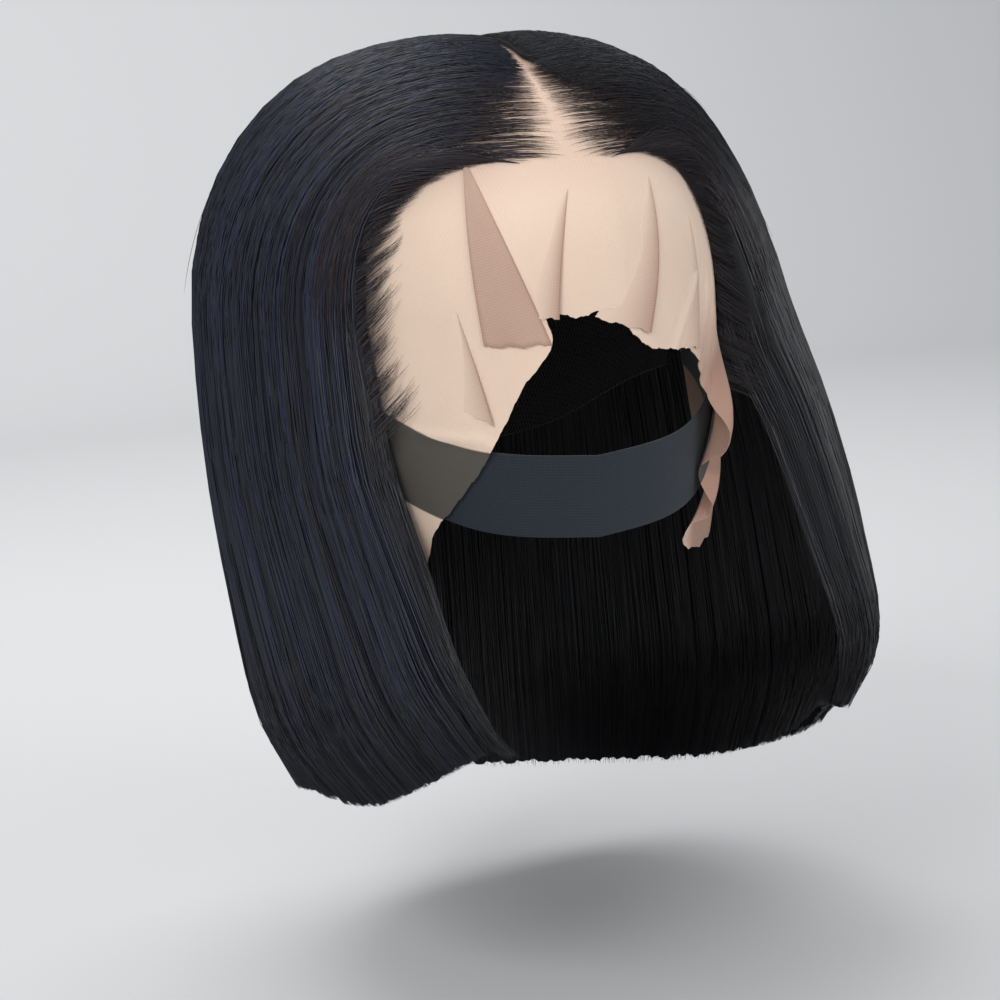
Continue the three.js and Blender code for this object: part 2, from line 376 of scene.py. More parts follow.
@dataclass(frozen=True)
class Palette:
    """Colours as light in the scene, red, green and blue."""

    hair_deep: Colour = (0.0022, 0.0024, 0.0032)
    hair_body: Colour = (0.006, 0.007, 0.011)
    # painted highlight: the blue sheen that the strands mix in by each point's sheen share
    hair_painted_sheen: Colour = (0.016, 0.021, 0.046)
    hair_brown: Colour = (0.04, 0.021, 0.014)
    lace: Colour = (0.83, 0.64, 0.5)
    lace_thread: Colour = (0.88, 0.74, 0.63)
    # darkest lace: doubled lace, and the painted shade of the folds
    lace_dark_and_shade: Colour = (0.36, 0.2, 0.145)
    lace_on_band: Colour = (0.044, 0.044, 0.04)
    elastic: Colour = (0.0085, 0.0135, 0.02)
    elastic_thread: Colour = (0.02, 0.028, 0.039)
    net: Colour = (0.04, 0.036, 0.037)
    net_hole: Colour = (0.01, 0.009, 0.0095)
    floor: Colour = (0.64, 0.642, 0.645)


PALETTE = Palette()


class NodeSheet:
    """A node tree that is written one node at a time."""

    def __init__(self, tree: NodeTree) -> None:
        """Starts on an empty tree."""
        self.tree = tree

    def add(self, kind: str, inputs: dict | None = None, **settings: object) -> Node:
        """Adds a node.

        Args:
            kind: Blender's name of the node type.
            inputs: Socket name or number to a value, or to a socket that feeds it.
            settings: Node properties.

        Returns:
            The new node.
        """
        node = self.tree.nodes.new(kind)
        for name, value in settings.items():
            setattr(node, name, value)
        for name, value in (inputs or {}).items():
            if isinstance(value, NodeSocket):
                self.tree.links.new(value, node.inputs[name])
            else:
                node.inputs[name].default_value = value
        return node

    def math(self, operation: str, first: object, second: object, **settings: bool) -> NodeSocket:
        """Result of one sum on two numbers or sockets."""
        inputs = {0: first, 1: second}
        return self.add("ShaderNodeMath", inputs, operation=operation, **settings).outputs[0]

    def ramp(self, value: NodeSocket, low: float, high: float, start: object = 0.0,
             end: object = 1.0) -> NodeSocket:
        """Maps a value between two limits to a span.

        Args:
            value: Socket of the value.
            low: Lower limit.
            high: Upper limit.
            start: Result at the lower limit.
            end: Result at the upper limit.

        Returns:
            Socket of the result.
        """
        spans = {"From Min": low, "From Max": high, "To Min": start, "To Max": end}
        return self.add("ShaderNodeMapRange", {"Value": value, **spans}).outputs[0]


def rgba(colour: Colour) -> tuple[float, float, float, float]:
    """A colour with full alpha."""
    return (*colour, 1.0)


def effect_group(name: str, inputs: tuple[str, ...],
                 outputs: tuple[str, ...]) -> tuple[NodeSheet, Node, Node]:
    """An empty shader group with its sockets.

    Args:
        name: Name of the group.
        inputs: Names of its inputs: Place is a vector, any other a number.
        outputs: Names of the numbers that it puts out.

    Returns:
        The sheet to write on, the group's input node and its output node.
    """
    tree = bpy.data.node_groups.new(name, "ShaderNodeTree")
    for labels, way in ((inputs, "INPUT"), (outputs, "OUTPUT")):
        for label in labels:
            kind = "NodeSocketVector" if label == "Place" else "NodeSocketFloat"
            tree.interface.new_socket(label, in_out=way, socket_type=kind)
    sheet = NodeSheet(tree)
    return sheet, sheet.add("NodeGroupInput"), sheet.add("NodeGroupOutput")


def strand_streaks() -> NodeTree:
    """Shader group: streaks that run along the hair, from a UV map laid out in metres.

    Returns:
        The group.
    """
    sheet, given, out = effect_group("Strand streaks", ("Place",), ("Fine", "Broad"))
    for label, scale, detail in (("Fine", (2600, 14, 1), 2.0), ("Broad", (420, 7, 1), 1.0)):
        spread = sheet.add("ShaderNodeMapping", {"Vector": given.outputs["Place"], "Scale": scale})
        noise = sheet.add("ShaderNodeTexNoise", {
            "Vector": spread.outputs[0], "Scale": 1.0, "Detail": detail})
        sheet.tree.links.new(noise.outputs["Fac"], out.inputs[label])
    return sheet.tree


def net_mesh() -> NodeTree:
    """Shader group: a fine hexagonal net, one at the threads and 0 in the holes.

    Returns:
        The group.
    """
    sheet, given, out = effect_group("Net mesh", ("Place", "Cells"), ("Thread",))
    cells = sheet.add("ShaderNodeTexVoronoi", {
        "Vector": given.outputs["Place"], "Scale": given.outputs["Cells"], "Randomness": 0.25},
        feature="DISTANCE_TO_EDGE", voronoi_dimensions="2D")
    thread = sheet.ramp(cells.outputs["Distance"], 0.02, 0.16, 1.0, 0.0)
    sheet.tree.links.new(thread, out.inputs["Thread"])
    return sheet.tree


def knit_ribs() -> NodeTree:
    """Shader group: ribs and stitches of a knitted elastic, from a UV map laid out in metres.

    Returns:
        The group.
    """
    sheet, given, out = effect_group("Knit ribs", ("Place",), ("Rib", "Stitch"))
    for label, scale, axis in (("Rib", 420.0, "X"), ("Stitch", 330.0, "Y")):
        wave = sheet.add("ShaderNodeTexWave", {
            "Vector": given.outputs["Place"], "Scale": scale, "Distortion": 1.2, "Detail": 1.0,
            "Detail Scale": 2.0}, bands_direction=axis, wave_profile="SIN")
        sheet.tree.links.new(wave.outputs["Fac"], out.inputs[label])
    return sheet.tree


class Finish:
    """Base of the finishes: a material with one Principled shader."""

    def start(self, name: str, roughness: float, specular: float,
              sheen: float = 0.0) -> tuple[Material, NodeSheet, Node]:
        """A new material with its shader and constants.

        Args:
            name: Name of the material.
            roughness: Roughness of the surface.
            specular: Specular level.
            sheen: Weight of the cloth sheen.

        Returns:
            The material, the sheet to write on and the Principled shader.
        """
        material = bpy.data.materials.new(name)
        material.use_nodes = True
        material.node_tree.nodes.clear()
        sheet = NodeSheet(material.node_tree)
        shader = sheet.add("ShaderNodeBsdfPrincipled", {
            "Roughness": roughness, "Specular IOR Level": specular, "Sheen Weight": sheen,
            "Sheen Roughness": 0.5})
        sheet.add("ShaderNodeOutputMaterial", {"Surface": shader.outputs[0]})
        return material, sheet, shader

    def effect(self, sheet: NodeSheet, group: NodeTree, **values: float) -> Node:
        """Places an effect on the piece's own UV map, which is laid out in metres.

        Args:
            sheet: Sheet to write on.
            group: The effect.
            values: The effect's numbers.

        Returns:
            The effect's node.
        """
        place = sheet.add("ShaderNodeUVMap", uv_map=CUT).outputs[0]
        return sheet.add("ShaderNodeGroup", {"Place": place, **values}, node_tree=group)

    def attribute(self, sheet: NodeSheet, name: str) -> NodeSocket:
        """A number kept on the piece's points."""
        return sheet.add("ShaderNodeAttribute", attribute_name=name).outputs["Fac"]

    def blend(self, sheet: NodeSheet, share: NodeSocket, first: NodeSocket | Colour,
              second: Colour) -> NodeSocket:
        """Mixes a colour or a socket with a second colour.

        Args:
            sheet: Sheet to write on.
            share: Share of the second colour.
            first: Colour at share 0, or a socket that gives it.
            second: Colour at share 1.

        Returns:
            Socket of the mixed colour.
        """
        first = first if isinstance(first, NodeSocket) else rgba(first)
        inputs = {0: share, 6: first, 7: rgba(second)}
        return sheet.add("ShaderNodeMix", inputs, data_type="RGBA").outputs[2]

    def paint(self, sheet: NodeSheet, shader: Node, colour: NodeSocket,
              height: NodeSocket | None = None, depth: float = 0.0, strength: float = 0.0) -> None:
        """Feeds the shader its colour and, where there is a height, its bump.

        Args:
            sheet: Sheet to write on.
            shader: The Principled shader.
            colour: Socket of the colour.
            height: Socket of the bump's height.
            depth: Depth of the bump in metres.
            strength: Strength of the bump.
        """
        sheet.tree.links.new(colour, shader.inputs["Base Color"])
        if height:
            bump = sheet.add("ShaderNodeBump", {
                "Height": height, "Distance": depth, "Strength": strength})
            sheet.tree.links.new(bump.outputs[0], shader.inputs["Normal"])


@dataclass(frozen=True)
class MassFinish(Finish):
    """The body of the hair under its strands, with streaks along them."""

    streaks: NodeTree
    roughness: float = 0.58
    relief: float = 0.35 * MM

    def make(self) -> Material:
        """Makes the material, with fine and broad streaks.

        Returns:
            The material.
        """
        material, sheet, shader = self.start("hair_mass", self.roughness, 0.3)
        streaks = self.effect(sheet, self.streaks).outputs
        colour = self.blend(sheet, streaks["Fine"], PALETTE.hair_deep, PALETTE.hair_body)
        both = sheet.math("ADD", streaks["Fine"], streaks["Broad"])
        self.paint(sheet, shader, colour, both, self.relief, 0.9)
        return material


@dataclass(frozen=True)
class StrandFinish(Finish):
    """Single strands: blue-black with a painted blue sheen, browner where they are thin and short.
    """

    roughness: float = 0.34

    def make(self) -> Material:
        """Makes the material from the share of painted sheen and the brown of each point.

        Returns:
            The material.
        """
        material, sheet, shader = self.start("hair_strand", self.roughness, 0.55)
        sheen_share, brown = (self.attribute(sheet, name) for name in (SHEEN_SHARE, BROWN))
        black = self.blend(sheet, sheen_share, PALETTE.hair_deep, PALETTE.hair_painted_sheen)
        self.paint(sheet, shader, self.blend(sheet, brown, black, PALETTE.hair_brown))
        return material


@dataclass(frozen=True)
class LaceFinish(Finish):
    """Sheer skin-toned lace, darker where doubled or over the band; its folds get painted shade."""

    net: NodeTree
    roughness: float = 0.72
    # net cells a metre, share of thread colour on the threads, and of the band that shows through
    cells: float = 1100.0
    threads: float = 0.16
    band_shows: float = 0.95
    relief: float = 0.12 * MM

    def make(self) -> Material:
        """Makes the material from the points' numbers: doubled lace, painted fold shade, band.

        Returns:
            The material.
        """
        material, sheet, shader = self.start("lace", self.roughness, 0.25, sheen=0.15)
        thread = self.effect(sheet, self.net, Cells=self.cells).outputs["Thread"]
        place = sheet.add("ShaderNodeUVMap", uv_map=CUT).outputs[0]
        cloud = sheet.add("ShaderNodeTexNoise", {"Vector": place, "Scale": 22.0, "Detail": 3.0})
        clouds = sheet.ramp(cloud.outputs["Fac"], 0.0, 1.0, 0.0, 0.3)
        dark_and_shade = sheet.math("ADD", self.attribute(sheet, DARK_AND_SHADE), clouds, use_clamp=True)
        cloth = self.blend(sheet, dark_and_shade, PALETTE.lace, PALETTE.lace_dark_and_shade)
        holes = sheet.math("MULTIPLY", thread, self.threads)
        netted = self.blend(sheet, holes, cloth, PALETTE.lace_thread)
        on_band = sheet.ramp(self.attribute(sheet, BAND_DEPTH), -0.3, 0.3, 0.0, self.band_shows)
        seen = self.blend(sheet, on_band, netted, PALETTE.lace_on_band)
        self.paint(sheet, shader, seen, thread, self.relief, 0.5)
        return material


@dataclass(frozen=True)
class ElasticFinish(Finish):
    """Dark navy knitted elastic."""

    ribs: NodeTree
    roughness: float = 0.8
    relief: float = 0.1 * MM

    def make(self) -> Material:
        """Makes the material, lighter on the stitches of the ribs.

        Returns:
            The material.
        """
        material, sheet, shader = self.start("elastic", self.roughness, 0.3, sheen=0.2)
        knit = self.effect(sheet, self.ribs).outputs
        both = sheet.math("MULTIPLY", knit["Rib"], knit["Stitch"])
        colour = self.blend(sheet, both, PALETTE.elastic, PALETTE.elastic_thread)
        self.paint(sheet, shader, colour, both, self.relief, 0.5)
        return material


@dataclass(frozen=True)
class NetFinish(Finish):
    """Matte dark net of the cap."""

    net: NodeTree
    roughness: float = 0.85
    cells: float = 500.0
    relief: float = 0.4 * MM

    def make(self) -> Material:
        """Makes the material, darker in the holes of the net.

        Returns:
            The material.
        """
        material, sheet, shader = self.start("cap_net", self.roughness, 0.2, sheen=0.1)
        thread = self.effect(sheet, self.net, Cells=self.cells).outputs["Thread"]
        colour = self.blend(sheet, thread, PALETTE.net_hole, PALETTE.net)
        self.paint(sheet, shader, colour, thread, self.relief, 0.8)
        return material


class FloorFinish(Finish):
    """Plain pale studio floor."""

    def make(self) -> Material:
        """Makes the material.

        Returns:
            The material.
        """
        material, _, shader = self.start("studio_floor", 0.9, 0.1)
        shader.inputs["Base Color"].default_value = rgba(PALETTE.floor)
        return material


def link(mesh: Mesh, name: str) -> Object:
    """Puts a mesh in the scene.

    Args:
        mesh: The mesh.
        name: Name of the new object.

    Returns:
        The object.
    """
    piece = bpy.data.objects.new(name, mesh)
    bpy.context.scene.collection.objects.link(piece)
    return piece


def set_uv(mesh: Mesh, uv: Array) -> None:
    """Keeps a UV map.

    Args:
        mesh: Mesh to keep it on.
        uv: One pair for each point.
    """
    corners = np.empty(len(mesh.loops), int)
    mesh.loops.foreach_get("vertex_index", corners)
    layer = mesh.uv_layers.new(name=CUT)
    layer.data.foreach_set("uv", uv[corners].astype(np.float32).ravel())


def set_number(mesh: Mesh, name: str, values: Array) -> None:
    """Keeps a number on each point."""
    layer = mesh.attributes.new(name, "FLOAT", "POINT")
    layer.data.foreach_set("value", np.asarray(values, np.float32).ravel())


def laid_out(points: Array) -> Array:
    """Flat places of a grid in metres, from the lengths along its two directions.

    Args:
        points: Grid of points, shaped across, along, 3.

    Returns:
        Pairs shaped across, along, 2.
    """
    steps_u = np.linalg.norm(np.diff(points, axis=0), axis=2)
    steps_v = np.linalg.norm(np.diff(points, axis=1), axis=2)
    widest = steps_u.sum(0).argmax()
    u = np.concatenate([[0], np.cumsum(steps_u[:, widest])])
    v = np.concatenate([np.zeros((len(points), 1)), np.cumsum(steps_v, 1)], 1)
    return np.stack([np.broadcast_to(u[:, None], v.shape), v], -1)


def dress(piece: Object, material: Material, slot: str, *nodes: str) -> Object:
    """Finishes a piece and fixes it to the frame.

    Args:
        piece: The piece.
        material: Its finish.
        slot: The record's material slot; not used.
        nodes: Nodes that it stands for.

    Returns:
        The piece.
    """
    if not piece.data.materials:
        piece.data.materials.append(material)
    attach(piece, "root")
    if nodes:
        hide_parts(*nodes)
    triangles = sum(len(face.vertices) - 2 for face in piece.data.polygons)
    log.info("%s: %d triangles", piece.name, triangles)
    return piece


def closed_sheet(name: str, outside: Array, inside: Array, *finish: object) -> Object:
    """A dressed closed body between two grids of points.

    Args:
        name: Name of the piece.
        outside: Points of the face, shaped across, along, 3. Seen from outside, along runs to the
            left of across.
        inside: Points of the back, of the same shape.
        finish: Its material, slot and nodes, as dress takes them.

    Returns:
        The new piece, smooth but for its edges.
    """
    across, along = outside.shape[:2]
    points = np.concatenate([outside.reshape(-1, 3), inside.reshape(-1, 3)])
    number = np.arange(2 * across * along).reshape(2, across, along)
    face, back = number
    quads = ((face[:-1, :-1], face[:-1, 1:], face[1:, 1:], face[1:, :-1]),
             (back[:-1, :-1], back[1:, :-1], back[1:, 1:], back[:-1, 1:]),
             (back[:-1, 0], face[:-1, 0], face[1:, 0], back[1:, 0]),
             (face[:-1, -1], back[:-1, -1], back[1:, -1], face[1:, -1]),
             (face[0, :-1], back[0, :-1], back[0, 1:], face[0, 1:]),
             (back[-1, :-1], face[-1, :-1], face[-1, 1:], back[-1, 1:]))
    faces = [np.stack([corner.ravel() for corner in corners], 1) for corners in quads]
    mesh = bpy.data.meshes.new(name)
    mesh.from_pydata(points.tolist(), [], np.concatenate(faces).tolist())
    mesh.polygons.foreach_set("use_smooth", [True] * len(mesh.polygons))
    mesh.set_sharp_from_angle(angle=math.radians(SHARP_EDGE))
    set_uv(mesh, np.concatenate([laid_out(outside).reshape(-1, 2)] * 2))
    return dress(link(mesh, name), *finish)


class StrandMaker:
    """Turns polylines into tapered strands with Geometry Nodes."""

    INPUTS = (
        ("Strands", "Geometry"), ("Finish", "Material"), ("Radius", "Float"),
        ("Tip share", "Float"), ("Wander", "Float"), ("Seed", "Int"))
    # how far apart two strands lie in the noise that they wander by, and its fineness
    NOISE_SPREAD, NOISE_SCALE = 40.0, 12.0
    # shares of a strand from which it tapers and over which it sprouts
    TAPER_FROM, SPROUT_TO = 0.8, 0.22

    def __init__(self) -> None:
        """Builds the node tree once for all the strands."""
        tree = bpy.data.node_groups.new("Strands of hair", "GeometryNodeTree")
        self.ids = {}
        for label, kind in self.INPUTS:
            socket = tree.interface.new_socket(
                label, in_out="INPUT", socket_type="NodeSocket" + kind)
            self.ids[label] = socket.identifier
        tree.interface.new_socket("Hair", in_out="OUTPUT", socket_type="NodeSocketGeometry")
        self.tree = tree
        self._write(NodeSheet(tree))

    def _write(self, sheet: NodeSheet) -> None:
        """Writes the nodes: wander, taper, tubes, finish.

        Args:
            sheet: Sheet to write on.
        """
        given = sheet.add("NodeGroupInput").outputs
        curves = sheet.add("GeometryNodeMeshToCurve", {"Mesh": given["Strands"]})
        owner = sheet.add("GeometryNodeCurveOfPoint")
        chance = sheet.add("FunctionNodeRandomValue", {
            "ID": owner.outputs["Curve Index"], "Seed": given["Seed"]})
        along = sheet.add("GeometryNodeSplineParameter").outputs["Factor"]
        noise = sheet.add("ShaderNodeTexNoise", {
            "Vector": sheet.add("GeometryNodeInputPosition").outputs[0],
            "W": sheet.math("MULTIPLY", chance.outputs[1], self.NOISE_SPREAD),
            "Scale": self.NOISE_SCALE, "Detail": 1.0}, noise_dimensions="4D")
        centred = sheet.add("ShaderNodeVectorMath", {
            0: noise.outputs["Color"], 1: (0.5, 0.5, 0.5)}, operation="SUBTRACT")
        size = sheet.math("MULTIPLY", along, given["Wander"])
        push = sheet.add("ShaderNodeVectorMath", {
            0: centred.outputs[0], "Scale": size}, operation="SCALE")
        moved = sheet.add("GeometryNodeSetPosition", {
            "Geometry": curves.outputs[0], "Offset": push.outputs[0]})
        taper = sheet.ramp(along, self.TAPER_FROM, 1.0, 1.0, given["Tip share"])
        sprout = sheet.ramp(along, 0.0, self.SPROUT_TO, given["Tip share"], 1.0)
        radius = sheet.math("MULTIPLY", sheet.math("MULTIPLY", taper, sprout), given["Radius"])
        sized = sheet.add("GeometryNodeSetCurveRadius", {
            "Curve": moved.outputs[0], "Radius": radius})
        section = sheet.add("GeometryNodeCurvePrimitiveCircle", {"Resolution": 3, "Radius": 1.0})
        tubes = sheet.add("GeometryNodeCurveToMesh", {
            "Curve": sized.outputs[0], "Profile Curve": section.outputs[0], "Fill Caps": True})
        if "Scale" in tubes.inputs:
            sheet.tree.links.new(radius, tubes.inputs["Scale"])
        smooth = sheet.add("GeometryNodeSetShadeSmooth", {"Geometry": tubes.outputs[0]})
        real = sheet.add("GeometryNodeRealizeInstances", {"Geometry": smooth.outputs[0]})
        finished = sheet.add("GeometryNodeSetMaterial", {
            "Geometry": real.outputs[0], "Material": given["Finish"]})
        sheet.add("NodeGroupOutput", {0: finished.outputs[0]})

    def make(self, name: str, paths: Array, numbers: dict[str, Array], finish: Material,
             radius: float, wander: float, seed: int, tip: float = 0.2) -> Object:
        """Makes one piece of strands.

        Args:
            name: Name of the piece.
            paths: Points of the strands, shaped strands, points, 3.
            numbers: Name of a number to its value for each point of each strand.
            finish: Material of the strands.
            radius: Radius of a strand.
            wander: How far a strand strays by its tip.
            seed: Seed of the wander.
            tip: Radius at the tip as a share.

        Returns:
            The piece as a plain mesh.
        """
        strands, steps = paths.shape[:2]
        number = np.arange(strands * steps).reshape(strands, steps)
        edges = np.stack([number[:, :-1].ravel(), number[:, 1:].ravel()], 1)
        mesh = bpy.data.meshes.new(name)
        mesh.from_pydata(paths.reshape(-1, 3).tolist(), edges.tolist(), [])
        for label, values in numbers.items():
            set_number(mesh, label, np.broadcast_to(values, (strands, steps)))
        piece = link(mesh, name)
        modifier = piece.modifiers.new("strands", "NODES")
        modifier.node_group = self.tree
        values = {
            "Finish": finish, "Radius": radius, "Tip share": tip, "Wander": wander, "Seed": seed}
        for label, value in values.items():
            modifier[self.ids[label]] = value
        seen = piece.evaluated_get(bpy.context.evaluated_depsgraph_get())
        made = bpy.data.meshes.new_from_object(seen)
        piece.modifiers.remove(modifier)
        piece.data = made
        bpy.data.meshes.remove(mesh)
        made.name = name
        return piece


@dataclass
class HairMass:
    """The closed body of one part of the hair, under its strands."""

    name: str
    node: str
    finish: Material
    steps: tuple[int, int] = (150, 110)
    under: float = 0.9 * MM
    # least thickness, and thickness at the hem
    wall: float = 0.3 * MM
    tip_wall: float = 1.5 * MM
    hem_jag: float = 0.0018
    hem_waves: tuple[int, ...] = (97, 211, 431)
    # share round the hair by which the body keeps back from the hairline, where lace shows through
    edge_gap: float = 0.05
    # share along the hair by which it keeps back from the front of the parting
    root_gap: float = 0.24
    # share round the hair by which its front edge keeps back at the hem, under the thin tips
    tip_gap: float = 0.02

    def sides(self, hand: Hand, around: Array, way: Array) -> tuple[Array, Array]:
        """Points of the face and of the lining.

        Args:
            hand: The wearer's side.
            around: From the front edge (0) to centre back (1).
            way: From root (0) past temples (1) to hem (2).

        Returns:
            The two grids of points.
        """
        waves = sum(np.sin(count * around + step) for step, count in enumerate(self.hem_waves))
        jag = self.hem_jag * waves
        first = self.root_gap * smoothstep(around, 0.28, 0.04)
        way = first + (HEM - first) * way / 2 + jag * smoothstep(way, 1.5, 2.0)
        kept = self.edge_gap * smoothstep(way, 0.95, 0.4)
        kept = kept + self.tip_gap * smoothstep(way, 1.6, 2.0)
        around = around + kept * np.clip(1 - around / CURTAIN_SHARE, 0, 1)
        under = self.under * (1 + smoothstep(way, 1.4, 1.8))
        face = np.maximum(hair_face(hand, around, way) - under, HAIR.seat + self.wall)
        ridges = 0.4 * LOCKS.height(hand, around + 0.013, way) * smoothstep(way, 0.9, 1.1)
        lining = np.maximum(HAIR.inner(hand, around, way) + ridges, HAIR.seat)
        lining = np.minimum(lining, face - self.wall)
        lining = lerp(face - self.tip_wall, lining, smoothstep(way, 2.0, 1.8))
        return HAIR.point(hand, around, way, face), HAIR.point(hand, around, way, lining)

    def build(self) -> Object:
        """Builds and dresses the piece.

        Returns:
            The piece.
        """
        share, way = grid((0, 1, self.steps[0]), (0, 2, self.steps[1]))
        if self.node == "hair_back":
            across = 1 - 2 * share
            around = 1 - (1 - CURTAIN_SHARE) * np.abs(across)
            right, left = (self.sides(hand, around, way) for hand in Hand)
            pick = (across < 0)[..., None]
            face, lining = (np.where(pick, r, l) for r, l in zip(right, left))
        else:
            hand = Hand.RIGHT if self.node == "hair_right" else Hand.LEFT
            around = CURTAIN_SHARE * (1 - share if hand is Hand.RIGHT else share)
            face, lining = self.sides(hand, around, way)
        return closed_sheet(self.name, face, lining, self.finish, "hair", self.node)


@dataclass
class Strands:
    """Strands over one part of the hair."""

    name: str
    hand: Hand
    layer: Layer
    count: int
    maker: StrandMaker
    finish: Material
    seed: int
    start: float = 0.0
    end: float = CURTAIN_SHARE
    points: int = 19
    radius: float = 0.24 * MM
    clumps: int = 60
    # share of the points that lie on the dome, how much they crowd at the hem, and width of the
    # thin edge of the hairline
    dome_share: float = 0.45
    hem_crowding: float = 1.3
    thin_edge: float = 0.05
    # how much the strands gather into locks by the hem, and how far they lean, as shares
    gather: float = 0.45
    lean: float = 0.012
    # strength of the painted sheen highlight: high where the key light falls, low as painted shade
    sheen_strength: float = 1.0

    def _ends(self, root: Array, chance: np.random.Generator) -> tuple[Array, Array]:
        """Where along the hair each strand starts and ends.

        Args:
            root: Where the roots lie round the hair.
            chance: Seeded source of chance.

        Returns:
            Starts and ends, from the root of the hair (0) to the hem (2).
        """
        reach = HEM + 0.004 * chance.standard_normal(self.count).clip(-2.5, 1)
        begin = 0.02 * chance.random(self.count)
        begin += 0.3 * chance.random(self.count) ** 0.7 * smoothstep(root, 0.24, 0.03)
        if self.layer is Layer.LINING:
            begin = 0.75 + 0.5 * chance.random(self.count)
        if self.layer is Layer.EDGE:
            begin = 0.62 + 0.36 * chance.random(self.count)
            reach = 1.9 + (0.11 - 0.02 * self.hand.value) * chance.random(self.count)
        if self.layer is Layer.STRAY:
            begin = 0.1 + 1.3 * chance.random(self.count)
            reach = begin + 0.25 + 0.2 * chance.random(self.count)
        return begin, reach

    def _stations(self, begin: Array, reach: Array) -> Array:
        """Places along each strand, closer on the dome and at the hem.

        The stations of neighbouring strands are staggered, so that the outline stays smooth.

        Args:
            begin: Where each strand starts along the hair.
            reach: Where it ends.

        Returns:
            Places shaped strands, points.
        """
        share = np.linspace(0, 1, self.points)[None, :]
        stagger = ((np.arange(self.count) * GOLDEN) % 1 - 0.5)[:, None] / (self.points - 1)
        share = share + stagger * ((share > 0) & (share < 1))
        dome = 0.5 * share / self.dome_share
        fall = 1 - 0.5 * ((1 - share) / (1 - self.dome_share)) ** self.hem_crowding
        way = np.where(share < self.dome_share, dome, fall)
        return begin[:, None] + (reach - begin)[:, None] * way

    def paths(self, chance: np.random.Generator) -> tuple[Array, Array, Array]:
        """Points of the strands.

        Args:
            chance: Seeded source of chance.

        Returns:
            Points shaped strands, points, 3, how far along the hair each one lies, and where the
            roots lie round the hair.
        """
        chosen = (np.arange(self.count) + chance.random(self.count)) / self.count
        root = self.start + (self.end - self.start) * chosen
        thinned = chance.random(self.count) > (root / self.thin_edge) ** 1.4
        root = np.where((root < self.thin_edge) & thinned, root + self.thin_edge, root)
        centre = (np.floor(root * self.clumps) + 0.5) / self.clumps
        begin, reach = self._ends(root, chance)
        way = self._stations(begin, reach)
        one_each = (self.count, 1)
        pull = self.gather * smoothstep(way, 0.8, 2.0) * chance.random(one_each)
        lean = self.lean * chance.standard_normal(one_each) * smoothstep(way, 0.2, 2)
        around = np.clip(lerp(root[:, None], centre[:, None], pull) + lean, 0.0, 1.0)
        depth = chance.random(one_each)
        if self.layer is Layer.EDGE:
            around = 0.016 * (chance.random(one_each) - 0.3) + 0.02 * smoothstep(way, 1.2, 0.8)
        face = hair_face(self.hand, around, way)
        lining = HAIR.inner(self.hand, around, way)
        low = HAIR.seat + 0.2 * MM
        inward = 0.0
        if self.layer is Layer.LINING:
            lift = lining - (0.5 + 1.5 * depth) * MM
        elif self.layer is Layer.EDGE:
            lift = lerp(lining, face - 0.3 * MM, depth)
        else:
            low += 0.2 * MM
            lift = face + (depth - 0.9) * MM
            inward = chance.random(one_each)
            front = smoothstep(root[:, None], 0.2, 0.03)
            inward = lerp(0.75 * inward**3, 0.9 * inward**5, front)
            inward *= smoothstep(root[:, None], CURTAIN_SHARE, 0.3)
        if self.layer is Layer.STRAY:
            share = (way - begin[:, None]) / (reach - begin)[:, None]
            lift = face + (4 * depth * share**2 - 0.4) * MM
        return HAIR.point(self.hand, around, way, np.maximum(lift, low), inward), way, root

    def build(self) -> Object:
        """Builds and dresses the piece.

        Returns:
            The piece.
        """
        chance = np.random.default_rng(self.seed)
        paths, way, root = self.paths(chance)
        # painted sheen: a share for each lock and each strand, cut towards the hem as painted shade
        lock = np.floor(root * self.clumps).astype(int)
        shine = 0.35 + 0.65 * chance.random(self.clumps + 1)[lock]
        sheen_share = self.sheen_strength * (shine * chance.random(self.count) ** 1.4)[:, None]
        sheen_share = sheen_share * (1 - 0.6 * smoothstep(way, 1.45, 1.95))
        scalp = 0.5 * smoothstep(root, 0.25, 0.03)[:, None] * smoothstep(way, 0.32, 0.04)
        brown = np.maximum(0.12 * chance.random((self.count, 1)) ** 3, scalp)
        wander = (2.4 if self.layer is Layer.LINING else 1.6) * MM
        piece = self.maker.make(self.name, paths, {SHEEN_SHARE: sheen_share, BROWN: brown}, self.finish,
                                self.radius, wander, self.seed)
        return dress(piece, self.finish, "hair")


